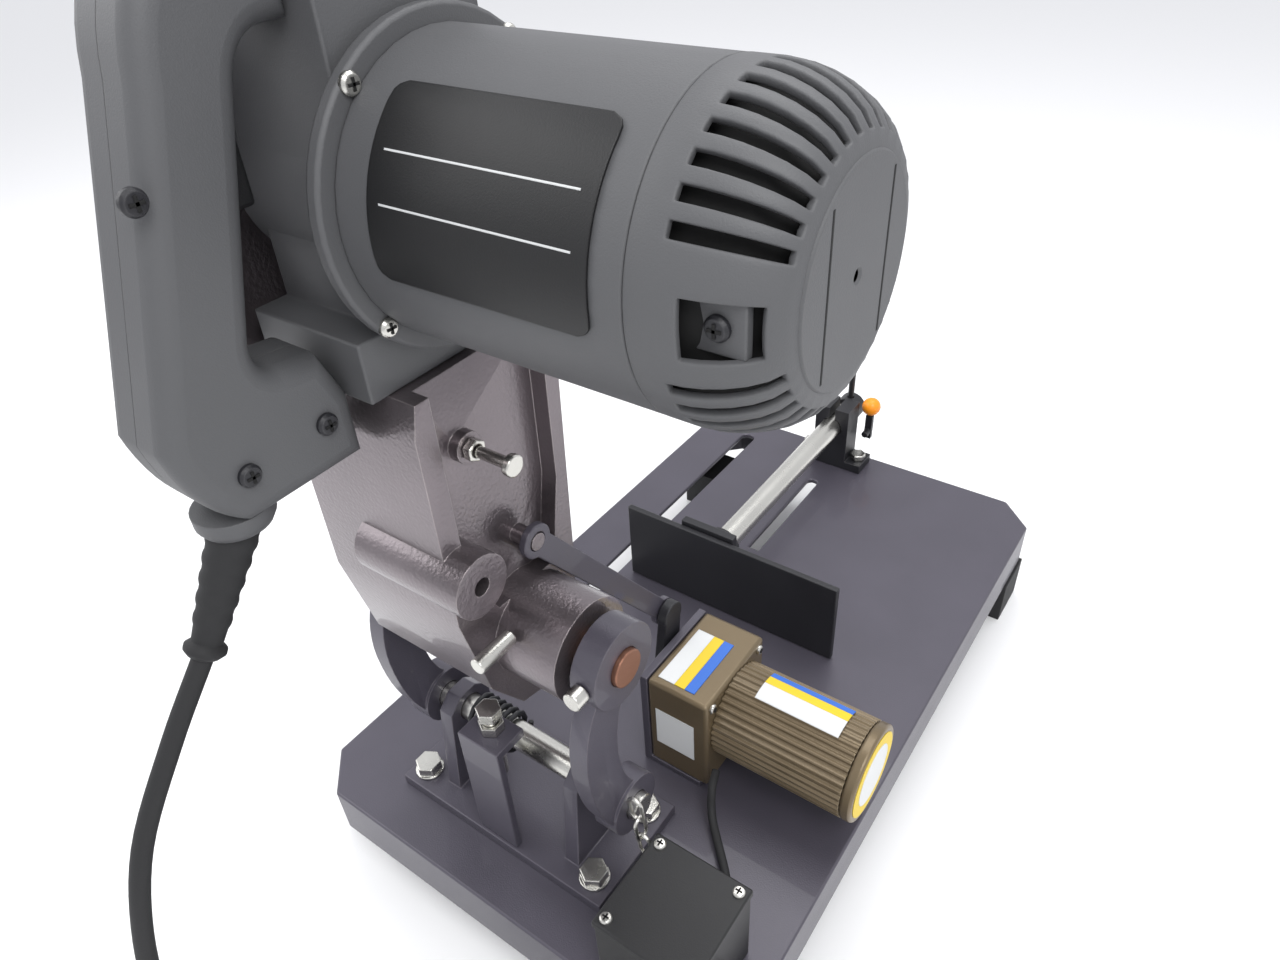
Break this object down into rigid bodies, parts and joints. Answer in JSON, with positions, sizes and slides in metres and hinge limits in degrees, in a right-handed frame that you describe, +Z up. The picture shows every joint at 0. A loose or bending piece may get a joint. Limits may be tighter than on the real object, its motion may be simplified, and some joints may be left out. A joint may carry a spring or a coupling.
{
  "type": "abrasive metal cut-off saw",
  "caption": "Bench cut-off saw: hinged head with side motor and D-handle on a flat slotted table, with a screw vise and a gear-motor feed drive.",
  "frame": {"origin": "on the floor under the feet, at the middle of the footprint", "axes": "+X the motor side, +Y from the hinge to the operator end, +Z up"},
  "size_m": [0.3443, 0.763, 0.612],
  "materials": {
    "table_paint": "dark purple-grey powder coat, semi-gloss",
    "cast_paint": "pearl grey-brown enamel on cast metal",
    "housing_plastic": "fine textured mid grey moulding",
    "black_plastic": "matte black moulding",
    "rubber": "black rubber",
    "zinc_steel": "bright zinc plate",
    "olive_paint": "olive-bronze metallic lacquer",
    "black_metal": "black powder coat",
    "copper": "dull copper brown",
    "orange_plastic": "orange moulding"
  },
  "bodies": {
    "base": {"base_table": "table_paint", "foot_rear_left": "rubber", "foot_rear_right": "rubber", "foot_front_left": "rubber", "foot_front_right": "rubber", "pivot_bracket": "table_paint", "bracket_bolt_1": "zinc_steel", "bracket_bolt_2": "zinc_steel", "bracket_bolt_3": "zinc_steel", "bracket_bolt_4": "zinc_steel", "pivot_arm_left": "table_paint", "pivot_arm_right": "table_paint", "pin_clamp_screw": "zinc_steel", "lower_shaft": "zinc_steel", "return_spring": "black_metal", "pivot_pin": "copper", "stop_shelf": "table_paint", "stop_bolt": "zinc_steel", "stop_nut": "zinc_steel", "screw_block": "black_metal", "block_bolt_left": "zinc_steel", "block_bolt_right": "zinc_steel", "motor_bracket": "table_paint", "gearbox": "olive_paint", "feed_motor": "olive_paint", "feed_motor_cap": "olive_paint", "control_box": "black_plastic", "control_box_lid": "black_plastic", "cable_gland": "black_plastic", "mains_cord": "rubber", "cord_coil": "rubber", "mains_plug": "rubber"},
    "jaw": {"vise_jaw": "black_metal", "jaw_bracket": "black_metal"},
    "screw": {"vise_screw": "zinc_steel", "handle_hub": "black_metal", "screw_handle": "black_metal"},
    "release": {"release_lever": "black_metal", "lever_knob": "orange_plastic"},
    "crank": {"feed_crank": "black_metal"},
    "link": {"feed_link": "table_paint"},
    "head": {"arm_casting": "cast_paint", "limit_screw": "zinc_steel", "limit_nut": "zinc_steel", "latch_pin": "zinc_steel", "gear_case": "housing_plastic", "guard_dish": "cast_paint", "motor_flange": "housing_plastic", "motor_housing": "housing_plastic", "motor_end_cap": "housing_plastic", "stator": "black_metal", "handle_left": "housing_plastic", "handle_right": "housing_plastic", "cord_boot": "rubber"},
    "armature": {"armature": "copper"},
    "spindle": {"spindle": "zinc_steel", "inner_flange": "zinc_steel", "outer_flange": "zinc_steel", "arbor_nut": "zinc_steel"},
    "trigger": {"trigger": "black_plastic"}
  },
  "joints": [
    {"name": "head_swing", "type": "hinge", "parent": "base", "child": "head", "pos_m": [-0.02, -0.186, 0.273], "axis": [-1, 0, 0], "range_deg": [0, 78]},
    {"name": "crank_turn", "type": "hinge", "parent": "base", "child": "crank", "pos_m": [0.015, -0.078, 0.131], "axis": [-1, 0, 0], "range_deg": [0, 78]},
    {"name": "link_turn", "type": "hinge", "parent": "crank", "child": "link", "pos_m": [0.009, -0.07, 0.184], "axis": [-1, 0, 0], "range_deg": [-78, 0]},
    {"name": "jaw_slide", "type": "slide", "parent": "base", "child": "jaw", "axis": [0, 1, 0], "range_m": [0, 0.11]},
    {"name": "screw_spin", "type": "hinge", "parent": "jaw", "child": "screw", "pos_m": [-0.025, 0.141, 0.127], "axis": [0, 1, 0], "range_deg": [0, 6602]},
    {"name": "release_turn", "type": "hinge", "parent": "base", "child": "release", "pos_m": [0, 0.301, 0.112], "axis": [0, 1, 0], "range_deg": [0, 60]},
    {"name": "armature_spin", "type": "hinge", "parent": "head", "child": "armature", "pos_m": [0.06, -0.184, 0.512], "axis": [1, 0, 0], "continuous": true},
    {"name": "spindle_spin", "type": "hinge", "parent": "head", "child": "spindle", "pos_m": [-0.11, -0.184, 0.512], "axis": [1, 0, 0], "continuous": true},
    {"name": "trigger_press", "type": "slide", "parent": "head", "child": "trigger", "axis": [0, -1, 0], "range_m": [0, 0.004], "stiffness_N_per_m": 500, "springref_m": -0.002}
  ],
  "couplings": [
    {"joint": "crank_turn", "follows": "head_swing", "ratio": 1},
    {"joint": "link_turn", "follows": "head_swing", "ratio": -1},
    {"joint": "screw_spin", "follows": "jaw_slide", "rad_per_m": 1047.2},
    {"joint": "spindle_spin", "follows": "armature_spin", "ratio": 0.25}
  ]
}
